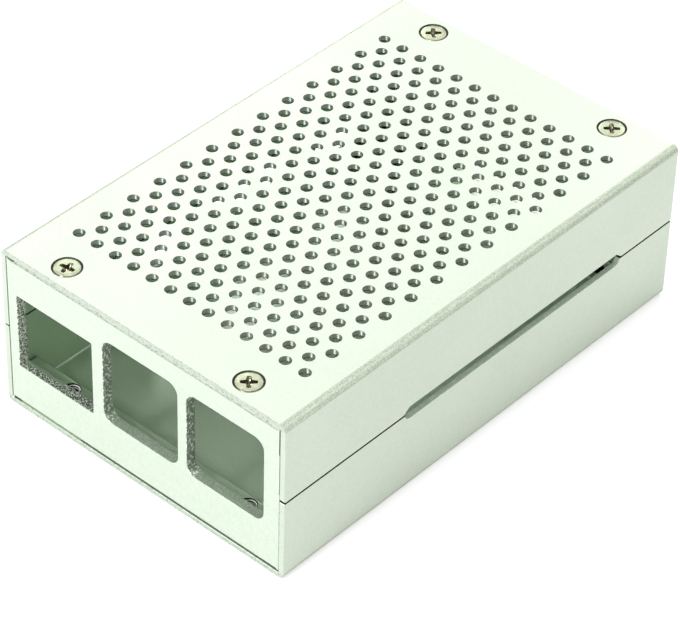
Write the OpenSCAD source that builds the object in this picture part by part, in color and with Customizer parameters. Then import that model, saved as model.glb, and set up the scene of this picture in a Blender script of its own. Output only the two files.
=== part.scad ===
// Vented aluminium case for a credit-card sized computer board.
// A folded top shell and a folded bottom shell close round two end frames,
// and countersunk screws hold each shell to the rails of the frames.
// The origin is under the middle of the case: X runs across the ports,
// -Y is the port end, +Y is the memory card end and Z is up. Sizes are in millimetres.

/* [Case] */
// Outside width, across the ports
case_w = 60.5; // [59:0.5:80]
// Outside length, port end to card end
case_l = 94; // [92:1:130]
// Outside height
case_h = 31.4; // [31:0.1:50]
// Thickness of the folded sheet
wall_t = 1; // [0.8:0.1:1.6]
// Inside radius of the long folds
fold_r = 0.2; // [0.1:0.1:1]
// Height of the split between the two shells
split_z = 15.95; // [14:0.05:18]
// Width of the split between the two shells
split_gap = 0.25; // [0.1:0.05:0.6]

/* [Roof vents] */
// Diameter of a vent hole
vent_d = 2; // [1:0.1:3]
// Distance between vent columns, across the case
vent_pitch_x = 4; // [4:0.5:8]
// Distance between vent rows, along the case
vent_pitch_y = 6; // [6:0.5:10]
// Least distance from a side of the case to the first column
vent_margin_x = 6.2; // [4:0.1:20]
// Least distance from an end of the case to the first row
vent_margin_y = 10.9; // [9:0.1:30]

/* [End frames] */
// Thickness of the end wall of a frame
frame_t = 1.9; // [1.2:0.1:2.2]
// Distance of the end wall's face inside the ends of the shells
frame_inset = 0.1; // [0:0.05:0.4]
// Clearance between a frame and each side wall
side_clear = 0.1; // [0.05:0.05:0.3]
// Rounding of the long edges of the end wall
frame_edge_r = 0.7; // [0.2:0.1:1]
// Height of the bottom rail
foot_rail_h = 5.2; // [3:0.1:5.6]
// Height of the top rail
head_rail_h = 4.2; // [3:0.1:4.6]
// Metal left behind the threaded bores of the rails
rail_web = 0.55; // [0.4:0.05:3]

/* [Screws] */
// Thread diameter of the shell screws
screw_d = 2.5; // [2:0.5:3]
// Length of a shell screw, head included
screw_len = 5; // [4:0.5:6]
// Diameter of the screw head
head_d = 4.7; // [4.2:0.1:5.5]
// Height of the straight rim of the screw head
head_rim = 0.1; // [0.05:0.05:0.2]
// Gap round the rim of a seated head, at the face of the sheet
head_ring = 0.2; // [0.15:0.05:0.4]
// Clearance between a screw and what it sits in
screw_clear = 0.03; // [0.01:0.01:0.06]
// Clearance round the thread where it passes the sheet
hole_clear = 0.225; // [0.1:0.025:0.3]
// Chamfer at the inner mouth of a threaded bore
bore_chamfer = 0.25; // [0.1:0.05:0.4]
// Distance between the screws across the case
screw_pitch = 38.6; // [30:0.1:44]
// Distance from the ends of the shells to the screws
screw_inset = 3.8; // [3.6:0.1:6]
// Length of the arms of the cross recess
cross_l = 2.6; // [2:0.1:2.8]
// Width of the arms of the cross recess
cross_w = 0.7; // [0.5:0.05:0.9]
// Depth of the cross recess
cross_depth = 0.8; // [0.4:0.1:1]

/* [Board] */
// Thickness of the board that the case takes, which is 85 long and 56 wide
board_t = 1.4; // [1.2:0.1:1.8]
// Gap between the board and the socket wall
board_clear = 0.1; // [0.05:0.05:0.5]
// Free space between the board and the ribbon wall
board_side = 2.4; // [0.1:0.1:8]
// Gap between the board and the port end wall
board_front = 0.2; // [0.1:0.1:1]
// Free space between the board and the card end wall
board_back = 4.8; // [4:0.1:20]
// Distance of the mounting holes from the card end and the long edges
hole_edge = 3.5; // [3:0.1:5]
// Distance of the mounting holes from the port end
hole_front = 23.5; // [20:0.5:30]
// Thread of the board screws
board_screw_d = 2.5; // [2:0.5:3]

/* [Standoffs] */
// Height of a standoff above the floor
standoff_h = 7; // [6.5:0.1:8]
// Width of a standoff across its flats
standoff_af = 5; // [4.5:0.1:6]
// Depth of the threaded bore
standoff_bore = 5; // [3:0.5:6]
// Diameter of the shank that is pressed into the floor
shank_d = 4.2; // [3.8:0.1:4.4]
// Distance of the shank's end above the underside
shank_lift = 0.1; // [0.05:0.05:0.3]
// Clearance round the shank
shank_clear = 0.02; // [0.01:0.01:0.05]

/* [Port end] */
// Network port: middle, from the socket edge of the board
net_x = 10.25; // [10:0.05:11]
// Width of the network window
net_w = 16.6; // [14:0.1:17]
// Height of the network window
net_h = 14.4; // [10:0.1:16]
// Reach of the network window below the board's top face
net_drop = 0.5; // [0:0.1:1]
// Corner radius of the network window
net_r = 0.3; // [0.2:0.1:2]
// First data port: middle, from the socket edge of the board
data_x = 29; // [28.5:0.1:30]
// Distance between the two data ports
data_pitch = 18; // [17:0.1:18.5]
// Width of a data window
data_w = 16.05; // [12:0.05:16.5]
// Height of a data window
data_h = 16.5; // [10:0.1:16.6]
// Reach of the data windows below the board's top face
data_drop = 0.2; // [0:0.1:1]
// Corner radius of the data windows
data_r = 2; // [0.5:0.1:4]

/* [Socket side] */
// Power window: middle, from the card end of the board
power_y = 10.6; // [10:0.1:12]
// Width of the power window
power_w = 9.7; // [8:0.1:11]
// Height of the power window
power_h = 5.1; // [4.5:0.1:5.2]
// Reach of the power window below the board's top face
power_drop = 2.1; // [1.8:0.1:2.4]
// Corner radius of the power window
power_r = 2.2; // [0.5:0.1:2.2]
// Video window: middle, from the card end of the board
video_y = 32; // [31:0.1:33]
// Width of the video window
video_w = 16.8; // [15:0.1:18]
// Width of the video window at its foot
video_foot_w = 12.4; // [11:0.1:14]
// Height of the video window
video_h = 6; // [5:0.1:6.2]
// Height of the slanted part at the foot of the video window
video_slope_h = 3.3; // [2:0.1:4]
// Reach of the video window below the board's top face
video_drop = 0.5; // [0.2:0.1:1]
// Sound hole: middle, from the card end of the board
sound_y = 53.5; // [53:0.1:55]
// Diameter of the sound hole
sound_d = 7; // [6:0.1:7.2]
// Height of the sound hole's axis above the board's top face
sound_rise = 2.4; // [2.2:0.1:2.6]

/* [Ribbon side] */
// Ribbon slot: middle, from the card end of the board
ribbon_y = 33.3; // [32:0.1:35]
// Length of the ribbon slot
ribbon_l = 53.1; // [40:0.1:54]
// Height of the ribbon slot
ribbon_h = 2.4; // [1.5:0.1:4]

/* [Card end] */
// Memory card window: middle, from the socket edge of the board
card_x = 25.9; // [25:0.1:28]
// Width of the memory card window
card_w = 18.3; // [14:0.1:19]
// Height of the memory card window
card_h = 4.6; // [4.4:0.1:6]
// Corner radius of the memory card window
card_r = 0.8; // [0.4:0.1:2]
// Height of the window above the floor
card_rise = 1.5; // [1:0.1:2]

/* [Hidden] */
$fn = 48;
// Extra reach of a cutting tool past the face that it cuts
past = 1;

// Inside of the folded sheet
bend_r = fold_r + wall_t;
inner_w = case_w - 2 * wall_t;
roof_z = case_h - wall_t;
frame_h = roof_z - wall_t;

// Where the board lies
board_x0 = -inner_w / 2 + board_clear;
board_x1 = inner_w / 2 - board_side;
board_y0 = -case_l / 2 + frame_inset + frame_t + board_front;
board_y1 = case_l / 2 - frame_inset - frame_t - board_back;
board_top = wall_t + standoff_h + board_t;

// Screws, with heads whose cones lie in 90 degree countersinks
sink_d = head_d + 2 * head_ring;
hole_d = screw_d + 2 * hole_clear;
bore_d = screw_d + 2 * screw_clear;
head_sunk = head_ring - head_rim - screw_clear;
screw_x = screw_pitch / 2;
screw_y = case_l / 2 - screw_inset;

// Frames
frame_w = inner_w - 2 * side_clear;
rail_d = screw_inset - frame_inset + bore_d / 2 + rail_web;
frame_corner_r = fold_r + side_clear;

// Vent pattern: as many columns and rows as the margins leave room for
vent_cols = floor((case_w - 2 * vent_margin_x) / vent_pitch_x) + 1;
vent_rows = floor((case_l - 2 * vent_margin_y) / vent_pitch_y) + 1;

// A rectangle with round corners, centred on the origin
module round_rect(w, h, r) {
    square([w - 2 * r, h], center = true);
    square([w, h - 2 * r], center = true);
    for (sx = [-1, 1], sy = [-1, 1])
        translate([sx * (w / 2 - r), sy * (h / 2 - r)])
            circle(r);
}

// Draws a flat outline in X and Z and runs it along the case
module along_y(length) {
    rotate([90, 0, 0])
        linear_extrude(length, center = true)
            children();
}

// Draws a flat outline in Y and Z and runs it across the case
module along_x(length) {
    rotate([90, 0, 90])
        linear_extrude(length, center = true)
            children();
}

// The four places of the screws, at height zero
module at_screws() {
    for (sx = [-1, 1], sy = [-1, 1])
        translate([sx * screw_x, sy * screw_y, 0])
            children();
}

// The four mounting holes of the board, at height zero
module at_board_holes() {
    for (x = [board_x0 + hole_edge, board_x1 - hole_edge])
        for (y = [board_y0 + hole_front, board_y1 - hole_edge])
            translate([x, y, 0])
                children();
}

// Section of both shells: one folded sheet right round the case
module sheet_ring() {
    translate([0, case_h / 2])
        difference() {
            round_rect(case_w, case_h, bend_r);
            round_rect(inner_w, frame_h, fold_r);
        }
}

// Section of one shell, from height z0 to height z1
module shell_section(z0, z1) {
    intersection() {
        sheet_ring();
        translate([-case_w, z0])
            square([2 * case_w, z1 - z0]);
    }
}

// Countersink with its bore, for a head that lies in the face at height zero
module screw_cut(d) {
    translate([0, 0, -screw_len - past])
        cylinder(d = d, h = screw_len + 2 * past);
    translate([0, 0, -(sink_d - d) / 2])
        cylinder(d1 = d, d2 = sink_d, h = (sink_d - d) / 2);
    cylinder(d = sink_d, h = past);
}

// Runs a flat outline in Y and Z through a side wall: side 1 is the ribbon wall, -1 the socket wall
module through_side(side, y, z) {
    translate([side * case_w / 2, y, z])
        along_x(2 * (wall_t + past))
            children();
}

// Stadium-shaped slot through the ribbon wall, half in each shell
module ribbon_cut() {
    run = ribbon_l - ribbon_h;
    through_side(1, board_y1 - ribbon_y, split_z) {
        square([run, ribbon_h], center = true);
        for (end = [-1, 1])
            translate([end * run / 2, 0])
                circle(d = ribbon_h);
    }
}

// Windows through the socket wall for the power, video and sound plugs
module socket_cuts() {
    through_side(-1, board_y1 - power_y, board_top - power_drop + power_h / 2)
        round_rect(power_w, power_h, power_r);
    through_side(-1, board_y1 - video_y, board_top - video_drop)
        polygon([[-video_foot_w / 2, 0], [video_foot_w / 2, 0],
                 [video_w / 2, video_slope_h], [video_w / 2, video_h],
                 [-video_w / 2, video_h], [-video_w / 2, video_slope_h]]);
    through_side(-1, board_y1 - sound_y, board_top + sound_rise)
        circle(d = sound_d);
}

// Round-cornered window through an end frame, with its foot at height z
module window_cut(x, y, z, w, h, r, depth) {
    translate([x, y, z + h / 2])
        along_y(2 * (depth + past))
            round_rect(w, h, r);
}

// Vent holes on a centred lattice: rows with a second set set over by half a pitch
module vent_cuts() {
    for (shift = [0, 1])
        for (i = [0 : vent_cols - 1 - shift], j = [0 : vent_rows - 1 - shift])
            translate([(i - (vent_cols - 1 - shift) / 2) * vent_pitch_x,
                       (j - (vent_rows - 1 - shift) / 2) * vent_pitch_y,
                       roof_z - past])
                cylinder(d = vent_d, h = wall_t + 2 * past);
}

// Section of an end frame in Y and Z: end wall with a rail at the foot and the head
module frame_section() {
    r = frame_edge_r;
    translate([0, wall_t]) {
        translate([0, r])
            square([frame_t, frame_h - 2 * r]);
        for (z = [r, frame_h - r])
            translate([r, z])
                circle(r);
        translate([r, 0])
            square([rail_d - r, foot_rail_h]);
        translate([0, r])
            square([rail_d, foot_rail_h - r]);
        translate([r, frame_h - head_rail_h])
            square([rail_d - r, head_rail_h]);
        translate([0, frame_h - head_rail_h])
            square([rail_d, head_rail_h - r]);
    }
}

// Plain end frame at the port end, with its threaded bores
module frame_blank() {
    difference() {
        intersection() {
            translate([0, -case_l / 2 + frame_inset, 0])
                along_x(frame_w)
                    frame_section();
            translate([0, -case_l / 2, case_h / 2])
                along_y(4 * rail_d)
                    round_rect(frame_w, frame_h, frame_corner_r);
        }
        for (sx = [-1, 1])
            translate([sx * screw_x, -screw_y, 0]) {
                translate([0, 0, case_h])
                    rail_bore(wall_t + head_rail_h);
                mirror([0, 0, 1])
                    rail_bore(wall_t + foot_rail_h);
            }
    }
}

// Threaded bore of a rail, seen from the face of the sheet, with a chamfered inner mouth
module rail_bore(depth) {
    screw_cut(bore_d);
    translate([0, 0, -depth - past])
        cylinder(d = bore_d, h = depth);
    translate([0, 0, -depth])
        cylinder(d1 = bore_d + 2 * bore_chamfer, d2 = bore_d, h = bore_chamfer);
}

// Countersunk screw with a cross recess, its thread pointing down from height zero
module screw() {
    r = screw_d / 2;
    cone_h = (head_d - screw_d) / 2;
    tip = bore_chamfer;
    translate([0, 0, -head_sunk])
        difference() {
            rotate_extrude()
                polygon([[0, 0], [head_d / 2, 0], [head_d / 2, -head_rim],
                         [r, -head_rim - cone_h], [r, -screw_len + tip],
                         [r - tip, -screw_len], [0, -screw_len]]);
            for (turn = [0, 90])
                rotate([0, 0, turn])
                    translate([-cross_l / 2, -cross_w / 2, -cross_depth])
                        cube([cross_l, cross_w, cross_depth + past]);
        }
}

// Six-sided standoff with a round shank in the floor and a threaded bore
module standoff() {
    difference() {
        union() {
            translate([0, 0, wall_t])
                cylinder(d = standoff_af / cos(30), h = standoff_h, $fn = 6);
            translate([0, 0, shank_lift])
                cylinder(d = shank_d, h = wall_t - shank_lift + standoff_h / 2);
        }
        translate([0, 0, wall_t + standoff_h - standoff_bore])
            cylinder(d = board_screw_d, h = standoff_bore + past);
    }
}

module top_shell() {
    color("gainsboro")
        difference() {
            along_y(case_l)
                shell_section(split_z + split_gap / 2, case_h);
            vent_cuts();
            ribbon_cut();
            translate([0, 0, case_h])
                at_screws()
                    screw_cut(hole_d);
        }
}

module bottom_shell() {
    color("silver")
        difference() {
            along_y(case_l)
                shell_section(0, split_z - split_gap / 2);
            ribbon_cut();
            socket_cuts();
            mirror([0, 0, 1])
                at_screws()
                    screw_cut(hole_d);
            at_board_holes()
                translate([0, 0, -past])
                    cylinder(d = shank_d + 2 * shank_clear, h = wall_t + 2 * past);
        }
}

module front_frame() {
    wall_y = -case_l / 2 + frame_inset;
    color("whitesmoke")
        difference() {
            frame_blank();
            window_cut(board_x0 + net_x, wall_y, board_top - net_drop,
                       net_w, net_h, net_r, frame_t);
            for (x = [data_x, data_x + data_pitch])
                window_cut(board_x0 + x, wall_y, board_top - data_drop,
                           data_w, data_h, data_r, frame_t);
        }
}

module rear_frame() {
    wall_y = case_l / 2 - frame_inset;
    color("whitesmoke")
        difference() {
            mirror([0, 1, 0])
                frame_blank();
            window_cut(board_x0 + card_x, wall_y, wall_t + card_rise,
                       card_w, card_h, card_r, rail_d);
        }
}

module cover_screws() {
    color("khaki")
        translate([0, 0, case_h])
            at_screws()
                screw();
}

module base_screws() {
    color("khaki")
        at_screws()
            mirror([0, 0, 1])
                screw();
}

module board_standoffs() {
    color("darkkhaki")
        at_board_holes()
            standoff();
}

top_shell();
bottom_shell();
front_frame();
rear_frame();
cover_screws();
base_screws();
board_standoffs();
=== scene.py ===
# %% [markdown]
# A vented aluminium case for a small computer board. Two folded sheets close round two end
# frames, and countersunk screws hold them. The packed model is loaded first as a fixed frame,
# and every piece below is made in that same frame, so nothing has to be fitted afterwards.

# %% Load the packed frame
import math
import bmesh
import bpy
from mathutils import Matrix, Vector, geometry


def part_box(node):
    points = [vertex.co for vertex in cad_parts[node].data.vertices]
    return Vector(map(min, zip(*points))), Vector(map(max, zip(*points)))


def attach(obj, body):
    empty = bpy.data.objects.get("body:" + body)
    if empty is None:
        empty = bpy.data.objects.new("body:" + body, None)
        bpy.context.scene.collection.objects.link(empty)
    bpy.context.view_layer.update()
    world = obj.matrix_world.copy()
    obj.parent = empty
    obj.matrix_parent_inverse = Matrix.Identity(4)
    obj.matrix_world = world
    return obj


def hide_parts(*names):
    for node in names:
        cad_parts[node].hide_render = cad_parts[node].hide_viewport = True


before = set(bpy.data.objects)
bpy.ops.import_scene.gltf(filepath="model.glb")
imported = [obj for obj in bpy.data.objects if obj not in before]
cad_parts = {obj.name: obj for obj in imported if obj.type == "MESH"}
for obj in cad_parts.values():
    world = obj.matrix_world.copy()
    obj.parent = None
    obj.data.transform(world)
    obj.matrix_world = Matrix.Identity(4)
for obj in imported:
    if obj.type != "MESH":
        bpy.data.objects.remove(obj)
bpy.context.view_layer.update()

scene = bpy.context.scene
mm = 0.001
print("solids in the frame:", sorted(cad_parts))

# %% [markdown]
# The camera comes first, because it tells which surfaces matter. It could be moved by hand until
# it looks right, but a pinhole camera fitted to the case's straight edges and rows of vents is
# closer. It is a long lens, so the far end of the case is hardly smaller than the near end.

# %% Camera
camera = bpy.data.objects.new("camera", bpy.data.cameras.new("camera"))
scene.collection.objects.link(camera)
scene.camera = camera
camera.location = (0.273132, -0.314421, 0.359726)
camera.rotation_euler = [math.radians(turn) for turn in (49.5993, -1.2887, 42.1553)]
camera.data.sensor_width = 36
camera.data.lens = 176.499
camera.data.clip_start = 0.01
print("camera at", tuple(camera.location))

# %% [markdown]
# Bare metal shows what stands round it more than its own colour, so the room is built for its
# reflections. The upright walls mirror a white floor, which a bare background wouldn't give them.
# It glows a little, as a light table does, because the photograph has hardly any shadow under the
# case, and it lies a hair lower than the case, so that two surfaces don't flicker in one plane.

# %% Floor
scene.view_settings.view_transform = "Standard"


def add_node(tree, kind, **settings):
    made = tree.nodes.new(kind)
    for name, value in settings.items():
        setattr(made, name, value)
    return made


def paint_floor():
    paint = bpy.data.materials.new("studio_floor")
    paint.use_nodes = True
    tree = paint.node_tree
    shader = tree.nodes["Principled BSDF"]
    shader.inputs["Roughness"].default_value = 0.9
    shader.inputs["Emission Color"].default_value = (1, 1, 1, 1)
    shader.inputs["Emission Strength"].default_value = 0.40
    noise = add_node(tree, "ShaderNodeTexNoise")
    noise.inputs["Scale"].default_value = 40
    tint = add_node(tree, "ShaderNodeValToRGB")
    tint.color_ramp.elements[0].color = (0.54, 0.54, 0.54, 1)
    tint.color_ramp.elements[1].color = (0.58, 0.58, 0.58, 1)
    where = add_node(tree, "ShaderNodeTexCoord")
    tree.links.new(where.outputs["Object"], noise.inputs["Vector"])
    tree.links.new(noise.outputs["Fac"], tint.inputs["Fac"])
    tree.links.new(tint.outputs["Color"], shader.inputs["Base Color"])
    return paint


def lay_floor(half=3.0, z=-0.02 * mm):
    corners = [(-half, -half, z), (half, -half, z), (half, half, z), (-half, half, z)]
    mesh = bpy.data.meshes.new("studio_floor")
    mesh.from_pydata(corners, [], [(0, 1, 2, 3)])
    mesh.materials.append(paint_floor())
    floor = bpy.data.objects.new("studio_floor", mesh)
    scene.collection.objects.link(floor)
    return floor


print("floor:", lay_floor().name)

# %% [markdown]
# The roof and the folds mirror the sky. A picture of a studio would serve, but a colour ramp over
# the height can be tuned one band at a time: bright overhead, and greyer at the horizon, which
# draws the dark lines along the rounded folds. Each band is a (height, level) pair.

# %% Sky
def hang_sky(bands, strength):
    sky = bpy.data.worlds.new("studio_sky")
    scene.world = sky
    sky.use_nodes = True
    tree = sky.node_tree
    where = add_node(tree, "ShaderNodeTexCoord")
    split = add_node(tree, "ShaderNodeSeparateXYZ")
    ramp = add_node(tree, "ShaderNodeValToRGB")
    tree.links.new(where.outputs["Generated"], split.inputs[0])
    tree.links.new(split.outputs["Z"], ramp.inputs["Fac"])
    tree.links.new(ramp.outputs["Color"], tree.nodes["Background"].inputs["Color"])
    tree.nodes["Background"].inputs["Strength"].default_value = strength
    stops = ramp.color_ramp.elements
    while len(stops) < len(bands):
        stops.new(0.5)
    for stop, (height, level) in zip(stops, bands):
        stop.position = height
        stop.color = (level, level, level, 1)


sky_bands = [(0.0, 0.23), (0.10, 0.28), (0.30, 0.68), (0.50, 0.96), (1.0, 0.90)]
hang_sky(sky_bands, strength=1.62)
print("sky bands:", len(sky_bands))

# %% [markdown]
# Disc lamps stand for softboxes. Glowing panels would do too, but lamps render with less noise. The
# key one is in front and draws the bright streak in every vent. The roof one hangs behind the case,
# where the roof mirrors it towards the camera, most of all on the left. The small one is close to
# the back, so its light falls off quickly and burns out the right corner alone. Azimuth 0 is in
# front of the case, and 90 is on its right.

# %% Softboxes
case_middle = Vector((0, 0, 0.015))


def hang_softbox(name, azimuth, elevation, distance, size, watts):
    lamp = bpy.data.lights.new(name, "AREA")
    lamp.shape = "DISK"
    lamp.size = size
    lamp.energy = watts
    softbox = bpy.data.objects.new(name, lamp)
    scene.collection.objects.link(softbox)
    a, e = math.radians(azimuth), math.radians(elevation)
    away = distance * math.cos(e)
    softbox.location = (away * math.sin(a), -away * math.cos(a), distance * math.sin(e))
    aim = case_middle - softbox.location
    softbox.rotation_euler = aim.to_track_quat("-Z", "Y").to_euler()


hang_softbox("key_softbox", azimuth=-5, elevation=44, distance=1.0, size=0.20, watts=10.5)
hang_softbox("roof_softbox", azimuth=230, elevation=31, distance=0.62, size=0.2, watts=0.42)
hang_softbox("corner_softbox", azimuth=184, elevation=37, distance=0.17, size=0.05, watts=0.018)

# %% [markdown]
# The sheets are blasted with fine beads and then anodised, which leaves an even, very fine grain
# with no direction. Sheared, punched and milled faces are rougher and catch bright flecks. Painted
# pictures would need UV maps, but noise on Object coordinates needs none. More than one metal uses
# each effect, so each is a node group that is built once: blasted_grain, cut_flecks and
# handling_haze.

# %% Shared surface effects
def new_effect(name, inputs, outputs):
    tree = bpy.data.node_groups.new(name, "ShaderNodeTree")
    for label, default in inputs:
        socket = tree.interface.new_socket(label, in_out="INPUT", socket_type="NodeSocketFloat")
        socket.default_value = default
    for label in outputs:
        tree.interface.new_socket(label, in_out="OUTPUT", socket_type="NodeSocketFloat")
    given, result = tree.nodes.new("NodeGroupInput"), tree.nodes.new("NodeGroupOutput")
    return tree, given.outputs, result.inputs, add_node(tree, "ShaderNodeTexCoord").outputs["Object"]


def noise_in(tree, where, scale, detail, roughness):
    noise = add_node(tree, "ShaderNodeTexNoise")
    noise.inputs["Detail"].default_value = detail
    noise.inputs["Roughness"].default_value = roughness
    tree.links.new(where, noise.inputs["Vector"])
    tree.links.new(scale, noise.inputs["Scale"])
    return noise.outputs["Fac"]


def plug(tree, value, socket):
    if isinstance(value, bpy.types.NodeSocket):
        tree.links.new(value, socket)
    else:
        socket.default_value = value


def math_in(tree, operation, *values):
    made = add_node(tree, "ShaderNodeMath", operation=operation)
    for socket, value in zip(made.inputs, values):
        plug(tree, value, socket)
    return made.outputs[0]


def make_blasted_grain(clump_scale=0.37, fine_share=0.6):
    tree, given, result, where = new_effect("blasted_grain", [("Grains per metre", 5000)], ["Tone", "Height"])
    fine = noise_in(tree, where, given[0], detail=2, roughness=0.6)
    clumps = noise_in(tree, where, math_in(tree, "MULTIPLY", given[0], clump_scale), detail=3, roughness=0.6)
    rest = math_in(tree, "MULTIPLY", clumps, 1 - fine_share)
    tree.links.new(math_in(tree, "MULTIPLY_ADD", fine, fine_share, rest), result["Tone"])
    tree.links.new(fine, result["Height"])
    return tree


def make_cut_flecks(edge_width=0.08):
    inputs = [("Flecks per metre", 3000), ("Bare share", 0.55)]
    tree, given, result, where = new_effect("cut_flecks", inputs, ["Flecks", "Height"])
    rough = noise_in(tree, where, given[0], detail=3, roughness=0.65)
    edge = add_node(tree, "ShaderNodeMapRange")
    tree.links.new(rough, edge.inputs["Value"])
    tree.links.new(given[1], edge.inputs["From Min"])
    tree.links.new(math_in(tree, "ADD", given[1], edge_width), edge.inputs["From Max"])
    tree.links.new(edge.outputs["Result"], result["Flecks"])
    tree.links.new(rough, result["Height"])
    return tree


def make_handling_haze():
    tree, given, result, where = new_effect("handling_haze", [("Clouds per metre", 60)], ["Haze"])
    tree.links.new(noise_in(tree, where, given[0], detail=4, roughness=0.55), result["Haze"])
    return tree


blasted_grain, cut_flecks, handling_haze = make_blasted_grain(), make_cut_flecks(), make_handling_haze()
print("effects:", [tree.name for tree in (blasted_grain, cut_flecks, handling_haze)])

# %% [markdown]
# The metals could be wired one by one, but they differ only in their numbers: two colours to mix
# (low and high), a range of roughness, the scale of an effect and the strength of its bump. So
# functions do the wiring. Grain gives a blasted face its slight mottle, haze makes its roughness
# drift, and flecks brighten cut faces. Metallic stays a plain number on the shader, because it is
# the same all over.

# %% How a metal is mixed
def mix_colour(tree, factor, low, high):
    ramp = add_node(tree, "ShaderNodeValToRGB")
    ramp.color_ramp.elements[0].color = (*low, 1)
    ramp.color_ramp.elements[1].color = (*high, 1)
    tree.links.new(factor, ramp.inputs["Fac"])
    return ramp.outputs["Color"]


def effect_in(tree, effect, **values):
    placed = add_node(tree, "ShaderNodeGroup", node_tree=effect)
    for label, value in values.items():
        placed.inputs[label.replace("_", " ")].default_value = value
    return placed.outputs


def bump_from(tree, height, strength, depth):
    bump = add_node(tree, "ShaderNodeBump")
    bump.inputs["Strength"].default_value = strength
    bump.inputs["Distance"].default_value = depth * mm
    tree.links.new(height, bump.inputs["Height"])
    return bump.outputs["Normal"]


def spread(tree, noise, low, high, usual=(0.25, 0.75)):
    span = add_node(tree, "ShaderNodeMapRange")
    span.inputs["From Min"].default_value, span.inputs["From Max"].default_value = usual
    span.inputs["To Min"].default_value = low
    span.inputs["To Max"].default_value = high
    tree.links.new(noise, span.inputs["Value"])
    return span.outputs["Result"]


def mixed_metal(name, add_looks, **plain):
    metal = bpy.data.materials.new(name)
    metal.use_nodes = True
    tree = metal.node_tree
    shader = tree.nodes["Principled BSDF"].inputs
    for label, value in plain.items():
        shader[label.replace("_", " ")].default_value = value
    for socket, look in add_looks(tree).items():
        tree.links.new(look, shader[socket])
    return metal


def blasted_metal(name, low, high, rough, grains=5200.0, bump=0.25, metallic=0.75):
    def looks(tree):
        grain = effect_in(tree, blasted_grain, Grains_per_metre=grains)
        haze = effect_in(tree, handling_haze)
        return {"Base Color": mix_colour(tree, grain["Tone"], low, high),
                "Roughness": spread(tree, haze["Haze"], *rough),
                "Normal": bump_from(tree, grain["Height"], bump, depth=0.03)}
    return mixed_metal(name, looks, Metallic=metallic)


def cut_metal(name, low, high, rough, flecks=3200.0, bare=0.52, bump=0.5, metallic=1.0):
    def looks(tree):
        marks = effect_in(tree, cut_flecks, Flecks_per_metre=flecks, Bare_share=bare)
        return {"Base Color": mix_colour(tree, marks["Flecks"], low, high),
                "Roughness": spread(tree, marks["Height"], *rough),
                "Normal": bump_from(tree, marks["Height"], bump, depth=0.08)}
    return mixed_metal(name, looks, Metallic=metallic)


print("ways to mix a metal:", [way.__name__ for way in (blasted_metal, cut_metal)])

# %% [markdown]
# A drill leaves fine rings round the wall of a vent. Rings too small to see stretch a highlight
# across them, and that makes the upright bright streak in every vent. Modelled rings would take far
# too many faces, but the shader's anisotropy does this with none, and a faint wave along Z adds the
# coarser rings as a bump. A Wave texture at scale 1 runs through 20 radians in each unit.

# %% Drilled metal
wave_radians = 20


def drilled_metal(name, low, high, rough, flecks=1800.0, rings_per_mm=9.0, bump=0.2):
    def looks(tree):
        marks = effect_in(tree, cut_flecks, Flecks_per_metre=flecks)
        rings = add_node(tree, "ShaderNodeTexWave", bands_direction="Z")
        rings.inputs["Scale"].default_value = 2 * math.pi * rings_per_mm / mm / wave_radians
        where = add_node(tree, "ShaderNodeTexCoord")
        tree.links.new(where.outputs["Object"], rings.inputs["Vector"])
        return {"Base Color": mix_colour(tree, marks["Flecks"], low, high),
                "Roughness": spread(tree, marks["Height"], *rough),
                "Normal": bump_from(tree, rings.outputs["Fac"], bump, depth=0.04)}
    return mixed_metal(name, looks, Metallic=1.0, Anisotropic=1.0, Anisotropic_Rotation=0.25)


drilled_wall = drilled_metal("drilled_wall", (0.30, 0.34, 0.29), (0.37, 0.41, 0.36), rough=(0.46, 0.52))
print("drilled metal:", drilled_wall.name)

# %% [markdown]
# One material would do for a sheet seen from afar, but close up it has many finishes. Its faces are
# blasted. The folds get three bands, a shoulder by the roof, the outside of the bend and the line
# where the wall starts, all painted darker than the faces as painted shade for the folds' dark lines.
# The sheared edges are bare, the edge at the parting line is painted near black as painted shade in
# the gap, and the countersinks are painted dark for the shade that falls below a screw head.

# %% Metals of the sheets
fold_shade_look = dict(flecks=3600.0, bump=0.4, metallic=0.75)
blasted_sheet = blasted_metal("blasted_sheet", (0.38, 0.435, 0.36), (0.55, 0.605, 0.52), rough=(0.44, 0.52),
                              grains=3600.0)
fold_shoulder = cut_metal("fold_shoulder", (0.31, 0.355, 0.28), (0.42, 0.475, 0.385), rough=(0.34, 0.44),
                          bare=0.47, **fold_shade_look)
fold_outside = cut_metal("fold_outside", (0.37, 0.42, 0.335), (0.49, 0.55, 0.445), rough=(0.34, 0.44),
                         bare=0.47, **fold_shade_look)
fold_line = cut_metal("fold_line", (0.30, 0.345, 0.265), (0.43, 0.485, 0.39), rough=(0.36, 0.46),
                      bare=0.50, **fold_shade_look)
sheet_inside = blasted_metal("sheet_inside", (0.52, 0.64, 0.49), (0.74, 0.855, 0.71), rough=(0.42, 0.48),
                             bump=0.4, metallic=1.0)
# The inside of every fold is painted near white, as a painted highlight along the inner bend.
fold_inside = blasted_metal("fold_inside", (0.86, 0.92, 0.84), (0.92, 0.97, 0.90), rough=(0.40, 0.50),
                            metallic=0.3)
sheared_edge = cut_metal("sheared_edge", (0.28, 0.31, 0.27), (0.46, 0.51, 0.44), rough=(0.38, 0.50),
                         flecks=2600.0, bare=0.38, bump=0.4)
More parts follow.
